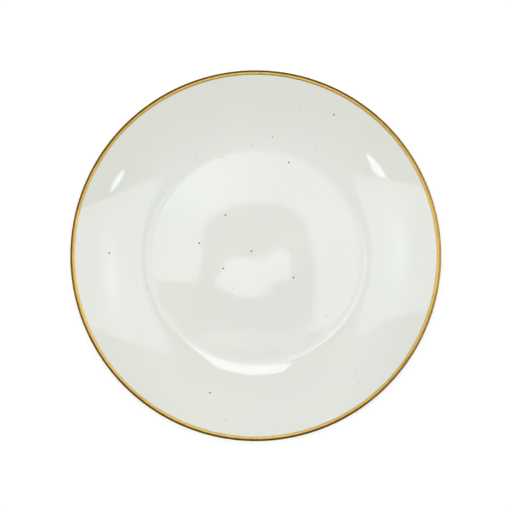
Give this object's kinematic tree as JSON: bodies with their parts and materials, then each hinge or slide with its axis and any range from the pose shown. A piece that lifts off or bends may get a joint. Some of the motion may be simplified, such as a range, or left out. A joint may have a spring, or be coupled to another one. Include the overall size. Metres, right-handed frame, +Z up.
{
  "type": "dinner plate",
  "caption": "Round coupe dinner plate in speckled glazed porcelain, with a flat well, a gently rising border, a gilded lip and a bare foot ring.",
  "frame": {"origin": "on the plate's axis, in the plane that the foot ring stands on", "axes": "+Z up along the plate's axis, out of the well; the plate looks the same all round, so +X and +Y are free"},
  "size_m": [0.267, 0.267, 0.023],
  "materials": {
    "biscuit": "matte, unglazed porcelain",
    "glaze": "glossy",
    "gold": "burnished gold",
    "speck": "glossy"
  },
  "bodies": {
    "root": {"porcelain_body": "biscuit", "outer_glaze": "glaze", "recess_glaze": "glaze", "gold_rim_band": "gold", "glaze_specks": "speck"}
  },
  "joints": []
}
